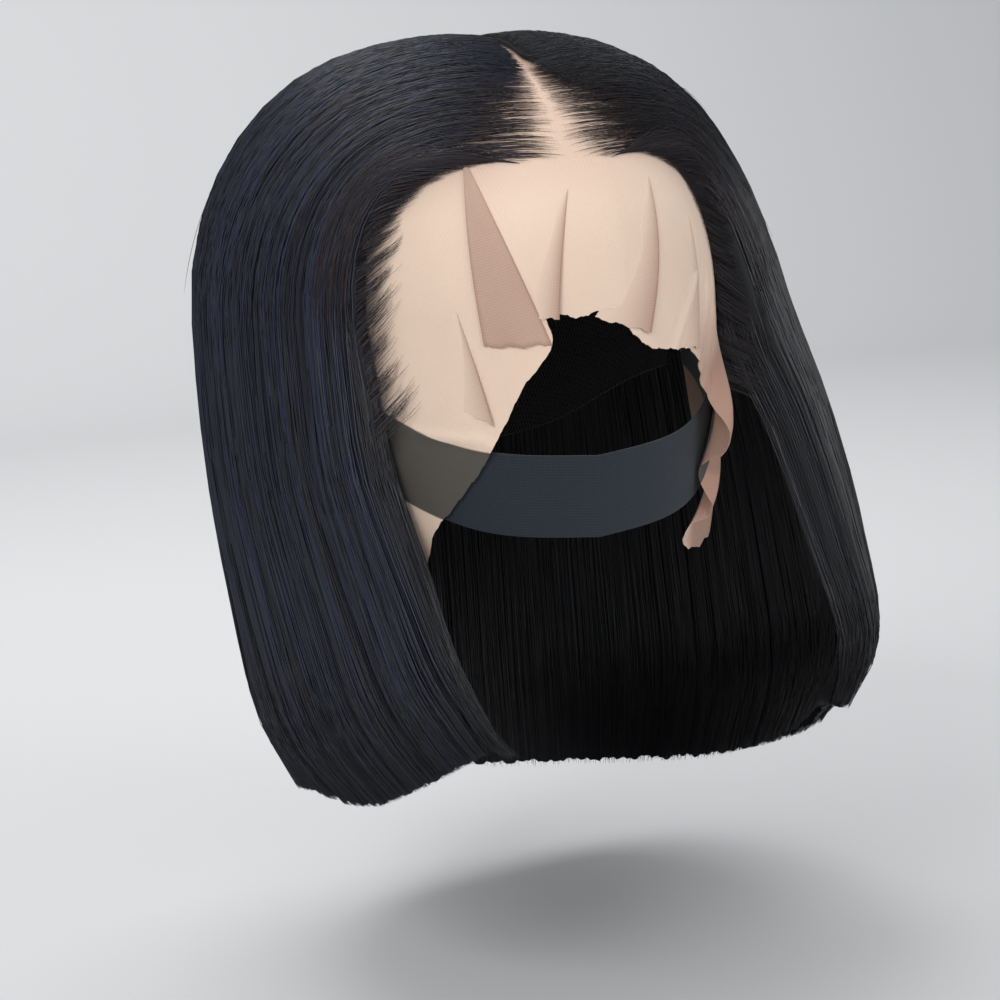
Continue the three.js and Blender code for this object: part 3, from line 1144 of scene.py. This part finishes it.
@dataclass
class Hairline:
    """Short fine hairs along the hairline, the temples and the parting."""

    maker: StrandMaker
    finish: Material
    seed: int = 41
    brow: int = 620
    tufts: int = 11
    tuft_hairs: int = 64
    tuft_sink: float = 2.5 * MM
    scalp_locks: int = 24
    lock_hairs: int = 13
    points: int = 8
    radius: float = 0.1 * MM
    wander: float = 1 * MM
    # how far off the cap's form the roots lie, and the least that the hairs keep off it
    root_lift: float = 0.9 * MM
    least_lift: float = 1.2 * MM

    def _sweep(self, hand: Hand, start: Array, around: Array, landing: Array,
               reach: Array, sink: float, chance: np.random.Generator) -> Array:
        """Strands that leave the lace at a direction and land on the hair.

        Args:
            hand: The wearer's side.
            start: Directions of the roots.
            around: Where they land round the hair.
            landing: Where they land along the hair.
            reach: How much further along the hair they run.
            sink: How deep under the face of the hair they land.
            chance: Seeded source of chance.

        Returns:
            Points shaped strands, points, 3.
        """
        share = np.linspace(0, 1, self.points)[None, :]
        way = landing[:, None] + reach[:, None] * share
        around = around[:, None]
        lift = hair_face(hand, around, way) - sink + 0.5 * MM * chance.random((len(around), 1))
        path = HAIR.point(hand, around, way, lift)
        root = FORM.over(start, self.root_lift)
        leave = (1 - smoothstep(share, 0.0, 0.75))[..., None]
        away = path + (root - path[:, 0])[:, None, :] * leave - MIDDLE
        length = np.linalg.norm(away, axis=-1)
        least = FORM.over(unit(away), self.least_lift) - MIDDLE
        floor = np.linalg.norm(least, axis=-1)
        return MIDDLE + away * (np.maximum(length, floor) / length)[..., None]

    def _edge(self, hand: Hand, way: Array) -> Array:
        """Directions from the cap's middle to the hair's front edge at places along it."""
        return unit(HAIR.point(hand, 0.0, way, 0.0) - MIDDLE)

    def _brow_hairs(self, hand: Hand, chance: np.random.Generator) -> Array:
        """Hairs that start on the lace under the upper hairline and run with the hair.

        Args:
            hand: The wearer's side.
            chance: Seeded source of chance.

        Returns:
            Points shaped strands, points, 3.
        """
        landing = 0.03 + 0.55 * chance.random(self.brow)
        down = np.array([0, -0.02, -0.06]) * chance.random((self.brow, 1)) ** 1.4
        down *= smoothstep(landing, 0.02, 0.35)[:, None]
        start = unit(self._edge(hand, np.maximum(landing - 0.05, 0)) + down)
        around = 0.01 + 0.05 * chance.random(self.brow)
        reach = 0.25 + 0.35 * chance.random(self.brow)
        return self._sweep(hand, start, around, landing, reach, 0.0, chance)

    def _temple_tufts(self, hand: Hand, chance: np.random.Generator) -> Array:
        """Tufts at the temple: each spreads on the lace and gathers on the hair.

        Args:
            hand: The wearer's side.
            chance: Seeded source of chance.

        Returns:
            Points shaped strands, points, 3.
        """
        count = self.tufts * self.tuft_hairs
        tuft = np.repeat(np.arange(self.tufts), self.tuft_hairs)
        size = (0.7 + 0.3 * chance.random(self.tufts))[tuft]
        low = (tuft + 0.5) / self.tufts
        landing = 0.45 + 0.82 * low + 0.017 * chance.standard_normal(count)
        inward = (0.02 + 0.19 * chance.random(count) ** 1.2) * size
        across, forward = np.full(count, -0.85 * hand.value), np.full(count, -0.35)
        side = np.stack([across, forward, 0.1 + 0.75 * low], 1)
        start = unit(self._edge(hand, landing - 0.01) + side * inward[:, None])
        around = 0.03 + 0.03 * chance.random(count)
        reach = 0.03 + 0.05 * chance.random(count)
        return self._sweep(hand, start, around, landing + 0.03, reach, self.tuft_sink, chance)

    def _scalp_hairs(self, hand: Hand, chance: np.random.Generator) -> Array:
        """Hairs that start on the lace in the parting.

        Args:
            hand: The wearer's side.
            chance: Seeded source of chance.

        Returns:
            Points shaped strands, points, 3.
        """
        count = self.scalp_locks * self.lock_hairs
        lock = (np.repeat(np.arange(self.scalp_locks), self.lock_hairs) + 0.5) / self.scalp_locks
        around = 0.25 * lock**1.2
        root = HAIR.root(hand, np.maximum(around + 0.004 * chance.standard_normal(count), 0))
        root[:, 0] *= chance.random(count) ** 0.7
        landing = 0.06 + 0.14 * chance.random(count)
        reach = 0.2 + 0.2 * chance.random(count)
        return self._sweep(hand, unit(root), around, landing, reach, 0.0, chance)

    def build(self) -> Object:
        """Builds and dresses the piece.

        Returns:
            The piece.
        """
        chance = np.random.default_rng(self.seed)
        groups = (self._brow_hairs, self._temple_tufts, self._scalp_hairs)
        paths = np.concatenate([group(hand, chance) for hand in Hand for group in groups])
        total = len(paths)
        numbers = {SHEEN_SHARE: chance.random((total, 1)), BROWN: 0.1 + 0.6 * chance.random((total, 1))}
        piece = self.maker.make(
            "hairline_hairs", paths, numbers, self.finish, self.radius, self.wander, self.seed)
        return dress(piece, self.finish, "hair")


@dataclass(frozen=True)
class LaceForm:
    """Form of the lace: where it meets the cap, its free edge, its folds and its ruffle."""

    ear_to_ear: float = 100
    depth: float = 12 * MM
    thickness: float = 0.35 * MM
    inner: float = 0.5 * MM
    pleat_height: float = 2.2 * MM
    ruffle_height: float = 23 * MM
    ruffle_from: float = 0.48
    ruffle_to: float = 0.77
    ruffle_waves: float = 2
    ruffle_start: float = 0.7
    ruffle_fade: float = 0.75
    bunch_height: float = 0.35 * MM
    # how ragged the free edge is, in degrees
    fray: float = 0.14
    edge: Table = Table(("across", "azimuth", "elevation"), (
        (-1.0, -80, -44), (-0.9, -60, -49), (-0.8, -43, -48), (-0.7, -37, -41), (-0.58, -27, -32),
        (-0.48, -21, -24), (-0.38, -15, -14), (-0.3, -9, -6), (-0.24, -10, 0), (-0.14, -4, -1),
        (0.02, 6, 0), (0.1, 8, -5), (0.2, 14, -9), (0.34, 26, -11), (0.46, 31, -17),
        (0.555, 31, -26), (0.625, 30.5, -35.5), (0.695, 30, -39.5), (0.77, 25, -45),
        (0.88, 46, -48), (1.0, 80, -44)))
    # place at the cap and at the free edge, half width and height of each low fold
    pleats: tuple[tuple[float, float, float, float], ...] = (
        (0.36, 0.4, 0.02, 0.6), (0.44, 0.5, 0.02, 0.6), (0.3, 0.27, 0.018, 0.4),
        (-0.62, -0.5, 0.02, 0.4))

    def way(self, across: Array, forward: Array) -> Array:
        """Directions from the cap's middle to places on the lace.

        Args:
            across: From the wearer's right ear (-1) to the left (1).
            forward: From the cap (0) to the free edge (1).

        Returns:
            Directions in a last axis of three.
        """
        fray = np.sin(61 * across) + np.sin(149 * across + 1) + 0.7 * np.sin(331 * across)
        azimuth = self.edge.column("azimuth", across)
        free = direction(azimuth, self.edge.column("elevation", across) + self.fray * fray)
        return unit(lerp(self.seam(across, self.depth), free, forward[..., None]))

    def seam(self, across: Array, depth: float) -> Array:
        """Directions to the seam from ear to ear over the crown.

        Args:
            across: From the wearer's right ear (-1) to the left (1).
            depth: How far behind the ears the seam lies at the crown.

        Returns:
            Directions in a last axis of three.
        """
        turn = np.radians(across * self.ear_to_ear)
        behind = np.full_like(turn, depth / FORM.rise)
        return unit(np.stack([np.sin(turn), behind, np.cos(turn)], -1))

    def rise(self, across: Array, forward: Array) -> Array:
        """Height of the folds and the ruffle.

        Args:
            across: From the wearer's right ear (-1) to the left (1).
            forward: From the cap (0) to the free edge (1).

        Returns:
            Heights in metres.
        """
        free = smoothstep(forward, self.ruffle_start, 1)
        total = np.zeros_like(across)
        for start, end, width, height in self.pleats:
            near = np.maximum(0, 1 - np.abs(across - lerp(start, end, free)) / width)
            swell = near**2 * (3 - 2 * near) * smoothstep(forward, 0.62, 0.9)
            total += self.pleat_height * height * swell
        share = np.clip((across - self.ruffle_from) / (self.ruffle_to - self.ruffle_from), 0, 1)
        wave = np.sin(np.pi * self.ruffle_waves * share) ** 2 * np.sin(np.pi * share)
        total += self.ruffle_height * wave * (1 - self.ruffle_fade * share) * free
        bunch = np.sin(150 * across + 2 * forward) * smoothstep(across, 0.28, 0.4)
        return total + self.bunch_height * (1 + bunch) * smoothstep(forward, 0.6, 0.8)


LACE = LaceForm()


class FoldEdge(Enum):
    """How a fold meets the lace at its side towards the wearer's right."""

    SHARP = "sharp"
    SOFT = "soft"


@dataclass(frozen=True)
class Fold:
    """A flat fold of doubled lace: a triangle that widens from its top to the free edge."""

    name: str
    # azimuth and elevation of the top, and of the two ends of the lower side
    top: tuple[float, float]
    end: tuple[float, float]
    corner: tuple[float, float]
    # darkness of the doubled lace, with painted shade across soft folds
    shade: float
    edge: FoldEdge = FoldEdge.SOFT
    bow: float = 0.012
    fade: float = 1.3
    height: float = 1.3 * MM
    fray: float = 0.004

    def build(self, finish: Material) -> Object:
        """Builds and dresses the fold.

        Args:
            finish: Material of the lace.

        Returns:
            The piece.
        """
        top, end, corner = (direction(*spot) for spot in (self.top, self.end, self.corner))
        share, down = grid((0, 1, 18), (0.01, 1, 40))
        low = lerp(corner, end, share[..., None])
        bend = self.bow * np.sin(np.pi * down) * (1 - 0.6 * share)
        waves = np.sin(17 * share + 1) + 0.5 * np.sin(41 * share)
        ragged = self.fray * waves * smoothstep(down, 0.8, 1)
        way = lerp(top, low, down[..., None]) + ragged[..., None] * UP
        way[..., 0] -= bend
        way = unit(way)
        # painted shade: soft folds darken towards the wearer's left on top of the doubled lace; all
        # get painted shadow along their rims
        rim_shadow = smoothstep(share, 0.93, 1.0)
        if self.edge is FoldEdge.SOFT:
            swell = self.height * share**2 * down
            dark_and_shade = self.shade * share**self.fade + 0.3 * rim_shadow
        else:
            arch = 0.3 * smoothstep(share, 0.15, 0) + 0.5 * np.sin(np.pi * share) ** 2
            swell = 0.3 * MM + self.height * arch * down
            rim_shadows = rim_shadow + smoothstep(share, 0.08, 0) + smoothstep(down, 0.97, 1)
            dark_and_shade = self.shade + 0.25 * rim_shadows
        lift = LACE.inner + LACE.thickness + swell
        face, back = FORM.over(way, lift + 0.25 * MM), FORM.over(way, lift - 0.1 * MM)
        piece = closed_sheet(self.name, face, back, finish, "lace")
        set_number(piece.data, BAND_DEPTH, np.full(2 * share.size, -BAND_REACH))
        set_number(piece.data, DARK_AND_SHADE, np.concatenate([np.clip(dark_and_shade, 0, 1).ravel()] * 2))
        return piece


FOLDS = (
    Fold("lace_pleat", (-25.5, 34.5), (-9, -6), (-22.5, -6), 0.6, FoldEdge.SHARP),
    Fold("lace_fold_brow", (-2, 25), (-7.5, -1), (-15, -0.5), 0.75, bow=0.03, fade=2.2),
    Fold("lace_fold_side", (21.5, 27), (12.5, -5.5), (0, -1.5), 0.7, bow=-0.02, fade=1.6),
    Fold("lace_fold_temple", (34, 18), (29, -11), (22, -9.5), 0.5),
    Fold("lace_fold_low", (-28, 2), (-21.5, -21), (-30, -18), 0.5, bow=-0.01, fade=1.8),
)


@dataclass
class LaceFront:
    """The sheer lace from ear to ear, with its flat folds."""

    finish: Material
    band: "ElasticBand"
    steps: tuple[int, int] = (250, 130)

    def build(self) -> None:
        """Builds and dresses the lace and its folds."""
        across, forward = grid((-1, 1, self.steps[0]), (0, 1, self.steps[1]))
        way = LACE.way(across, forward)
        rise = LACE.rise(across, forward)
        face = FORM.over(way, rise + LACE.inner + LACE.thickness)
        back = FORM.over(way, rise + LACE.inner)
        piece = closed_sheet("lace_front_net", face, back, self.finish, "lace", "lace_front")
        self._mark(piece, np.concatenate([rise.ravel()] * 2))
        folds = [fold.build(self.finish) for fold in FOLDS]

    def _mark(self, piece: Object, rise: Array) -> None:
        """Keeps how deep in the band's outline the lace lies, and how dark it is.

        Args:
            piece: The lace.
            rise: Height of the folds at each point.
        """
        points = np.array([v.co for v in piece.data.vertices])
        loose = smoothstep(rise, 0.8 * MM, 3 * MM)
        set_number(piece.data, BAND_DEPTH, self.band.depth(points) - 8 * loose)
        up = (points[:, 2] + FORM.rise) / FORM.rise
        azimuth = np.degrees(np.arctan2(points[:, 0], -points[:, 1]))
        near_hair = 0.22 * smoothstep(up, 0.35, 0.6) + 0.28 * smoothstep(up, 0.8, 0.93)
        low = 0.3 * smoothstep(up, -0.75, -0.95)
        over_hair = 0.7 * smoothstep(azimuth, 24, 32) * smoothstep(up, 0.05, -0.35)
        dark = 0.35 * loose + near_hair + over_hair + low
        set_number(piece.data, DARK_AND_SHADE, np.clip(dark, 0, 0.85))


@dataclass
class ElasticBand:
    """The wide elastic from ear to ear, under the lace."""

    finish: Material
    width: float = 28 * MM
    thickness: float = 1.2 * MM
    inset: float = 0.3 * MM
    reach: float = 90
    line: Table = Table(("round", "below"), (
        (0, 0.272), (0.3, 0.25), (0.6, 0.18), (0.85, 0.11), (1, 0.08)))

    def middle(self, across: Array) -> Array:
        """Depth of the band's middle line below the temples."""
        return FORM.fall * self.line.column("below", np.abs(across))

    def depth(self, points: Array) -> Array:
        """How deep points lie in the band's outline.

        Args:
            points: Points, one a row.

        Returns:
            Distances from its edges in mm, up to BAND_REACH, below zero beside the band.
        """
        azimuth = np.degrees(np.arctan2(points[:, 0], -points[:, 1])) / self.reach
        high = np.abs(-FORM.rise - points[:, 2] - self.middle(np.clip(azimuth, -1, 1)))
        inside = np.clip((self.width / 2 - high) / MM, -BAND_REACH, BAND_REACH)
        return np.where(np.abs(azimuth) < 1, inside, -BAND_REACH)

    def _face(self, across: Array, height: Array, deep: Array) -> Array:
        """Points of the band.

        Args:
            across: From the wearer's right ear (-1) to the left (1).
            height: Share of the width, from -0.5 at the upper edge to 0.5.
            deep: Depth under the form that the lace lies on.

        Returns:
            Points in the row frame, in a last axis of three.
        """
        below = self.middle(across) + self.width * height
        outward = direction(across * self.reach, 0)
        level = 1 / np.hypot(outward[..., 0] / (FORM.width / 2), outward[..., 1] / (FORM.depth / 2))
        points = outward * (level * np.sqrt(1 - (below / FORM.fall) ** 2) - deep)[..., None]
        points[..., 2] = -FORM.rise - below
        return points

    def build(self) -> None:
        """Builds and dresses the band."""
        across, height = grid((-1, 1, 160), (-0.5, 0.5, 22))
        swell = 0.25 * MM * smoothstep(np.abs(height), 0.5, 0.44)
        face = self._face(across, height, self.inset + 0.25 * MM - swell)
        back = self._face(across, height, self.inset + self.thickness - 0.25 * MM + swell)
        piece = closed_sheet("elastic_knit", face, back, self.finish, "elastic", "elastic_band")
        length = laid_out(face)[-1, 0, 0]
        log.info("band length %.4f m", length)


@dataclass
class Cap:
    """The net cap behind the lace."""

    finish: Material
    thickness: float = 1.0 * MM
    seam: float = 0.3 * MM
    edge: Table = Table(("across", "azimuth", "elevation"), (
        (0, 180, -37), (0.5, 146, -35), (0.8, 120, -28), (1, 101, -24)))

    def build(self) -> None:
        """Builds and dresses the cap."""
        across, back = grid((1, -1, 120), (0, 1, 50))
        front = LACE.seam(across, LACE.depth + self.seam)
        side = np.where(across < 0, -1, 1)
        low = direction(side * self.edge.column("azimuth", np.abs(across)),
                        self.edge.column("elevation", np.abs(across)))
        way = unit(lerp(front, low, back[..., None]))
        face = FORM.over(way, self.thickness)
        inside = FORM.over(way, 0)
        closed_sheet("cap_net", face, inside, self.finish, "cap_net", "wig_cap")


@dataclass(frozen=True)
class Lamp:
    """A square soft light."""

    name: str
    place: Place
    size: float
    power: float
    aim: Place = (0, 0, -0.125)


@dataclass
class Studio:
    """Camera at the photograph's angle, pale floor and soft light."""

    azimuth: float = -20
    elevation: float = 7
    roll: float = 3.5
    distance: float = 850 * MM
    target: Place = (0, 0, -125 * MM)
    # place of the target in the photograph, in pixels, and its scale there in pixels a metre
    target_pixel: tuple[float, float] = (499.1, 388.9)
    pixels_per_metre: float = 2720
    frame_pixels: int = 1000
    sensor: float = 36
    floor_level: float = -340 * MM
    floor_near: float = -3.0
    floor_far: float = 1.6
    floor_bend: float = 0.6
    floor_width: float = 8.0
    backdrop_top: float = 3.0
    sky: Colour = (0.9, 0.94, 1.0)
    ambient: float = 0.42
    lamps: tuple[Lamp, ...] = (
        Lamp("key", (-1.15, -0.95, 0.85), 0.8, 14.2),
        Lamp("fill", (0.9, -1.5, 0.3), 1.0, 11.0),
        Lamp("top", (-0.3, 0.1, 1.5), 0.9, 6.0),
        Lamp("wash", (0.0, 0.5, 1.4), 1.4, 23.0, (0.0, 2.2, 0.2)))

    def camera(self) -> None:
        """Sets the camera."""
        a, e, r = (math.radians(angle) for angle in (self.azimuth, self.elevation, self.roll))
        back = Vector((math.sin(a) * math.cos(e), -math.cos(a) * math.cos(e), math.sin(e)))
        right = Vector((math.cos(a), math.sin(a), 0))
        up = back.cross(right)
        across = right * math.cos(r) - up * math.sin(r)
        above = right * math.sin(r) + up * math.cos(r)
        data = bpy.data.cameras.new("camera")
        data.sensor_width = self.sensor
        data.lens = self.sensor * self.pixels_per_metre * self.distance / self.frame_pixels
        data.shift_x = (self.frame_pixels / 2 - self.target_pixel[0]) / self.frame_pixels
        data.shift_y = (self.target_pixel[1] - self.frame_pixels / 2) / self.frame_pixels
        data.clip_end = 20
        camera = bpy.data.objects.new("camera", data)
        turned = Matrix((across, above, back)).transposed().to_4x4()
        place = Vector(self.target) + back * self.distance
        camera.matrix_world = Matrix.Translation(place) @ turned
        bpy.context.scene.collection.objects.link(camera)
        bpy.context.scene.camera = camera

    def floor(self) -> None:
        """Lays the floor and its curved backdrop."""
        low, bend, far = self.floor_level, self.floor_bend, self.floor_far
        profile = [(self.floor_near, low)]
        for turn in np.linspace(0, math.pi / 2, 16):
            profile.append((far + bend * math.sin(turn), low + bend * (1 - math.cos(turn))))
        profile.append((far + bend, self.backdrop_top))
        half = self.floor_width / 2
        points = [(x, y, z) for y, z in profile for x in (-half, half)]
        faces = [(2 * i, 2 * i + 1, 2 * i + 3, 2 * i + 2) for i in range(len(profile) - 1)]
        mesh = bpy.data.meshes.new("floor")
        mesh.from_pydata(points, [], faces)
        mesh.polygons.foreach_set("use_smooth", [True] * len(mesh.polygons))
        mesh.materials.append(FloorFinish().make())
        link(mesh, "floor")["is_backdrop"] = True

    def light(self) -> None:
        """Hangs the soft lights and sets the world."""
        for plan in self.lamps:
            data = bpy.data.lights.new(plan.name, "AREA")
            data.energy, data.size = plan.power, plan.size
            lamp = bpy.data.objects.new(plan.name, data)
            lamp.location = plan.place
            away = Vector(plan.place) - Vector(plan.aim)
            lamp.rotation_euler = away.to_track_quat("Z", "Y").to_euler()
            bpy.context.scene.collection.objects.link(lamp)
        world = bpy.data.worlds.new("studio")
        world.use_nodes = True
        background = world.node_tree.nodes["Background"]
        background.inputs["Color"].default_value = rgba(self.sky)
        background.inputs["Strength"].default_value = self.ambient
        bpy.context.scene.world = world
        bpy.context.scene.view_settings.view_transform = "Standard"

    def build(self) -> None:
        """Sets camera, floor and light."""
        self.camera()
        self.floor()
        self.light()


class Hair:
    """All the hair: three masses, their strands, strays and the hairline."""

    def __init__(self) -> None:
        """Makes the finishes and the strand maker."""
        self.maker = StrandMaker()
        self.mass = MassFinish(strand_streaks()).make()
        self.strand = StrandFinish().make()

    def build(self) -> None:
        """Builds every piece of hair."""
        for name, node in (("hair_mass_right", "hair_right"), ("hair_mass_left", "hair_left"),
                           ("hair_mass_back", "hair_back")):
            HairMass(name, node, self.mass).build()
        right, left = Hand
        half, join, back, edge = CURTAIN_SHARE / 2, CURTAIN_SHARE, 1.0, 0.02
        # the sixth item scales the painted sheen: strong on the wearer's right, where the key light
        # falls, weak on the left and on the lining as painted shade
        for name, hand, layer, count, points, sheen_strength, start, end in (
            ("strands_right_front", right, Layer.FACE, 950, 23, 2.0, 0.0, half),
            ("strands_right_side", right, Layer.FACE, 900, 23, 2.0, half, join),
            ("strands_left_front", left, Layer.FACE, 950, 23, 0.5, 0.0, half),
            ("strands_left_side", left, Layer.FACE, 900, 23, 0.5, half, join),
            ("strands_right_back", right, Layer.FACE, 700, 23, 1.2, join - 0.02, back),
            ("strands_left_back", left, Layer.FACE, 700, 23, 0.6, join - 0.02, back),
            ("lining_strands_right", right, Layer.LINING, 520, 10, 0.25, 0.0, back),
            ("lining_strands_left", left, Layer.LINING, 720, 10, 0.25, 0.0, back),
            ("edge_strands_right", right, Layer.EDGE, 560, 12, 0.9, 0.0, edge),
            ("edge_strands_left", left, Layer.EDGE, 520, 12, 0.4, 0.0, edge),
            ("stray_strands_right", right, Layer.STRAY, 40, 12, 0.8, 0.0, back),
            ("stray_strands_left", left, Layer.STRAY, 40, 12, 0.4, 0.0, back),
        ):
            radius = (0.1 if layer is Layer.STRAY else 0.25) * MM
            Strands(name, hand, layer, count, self.maker, self.strand, len(name) + count, start,
                    end, points, radius, sheen_strength=sheen_strength).build()
        Hairline(self.maker, self.strand).build()


def main() -> None:
    """Builds the wig in order."""
    logging.basicConfig(level=logging.INFO, format="%(message)s")
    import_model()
    frame_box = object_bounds()
    Studio().build()
    net = net_mesh()
    Cap(NetFinish(net).make()).build()
    band = ElasticBand(ElasticFinish(knit_ribs()).make())
    band.build()
    LaceFront(LaceFinish(net).make(), band).build()
    Hair().build()
    boxes = {"cad": frame_box, "visual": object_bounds()}
    boxes = {name: [list(corner) for corner in box] for name, box in boxes.items()}


if __name__ == "__main__":
    main()
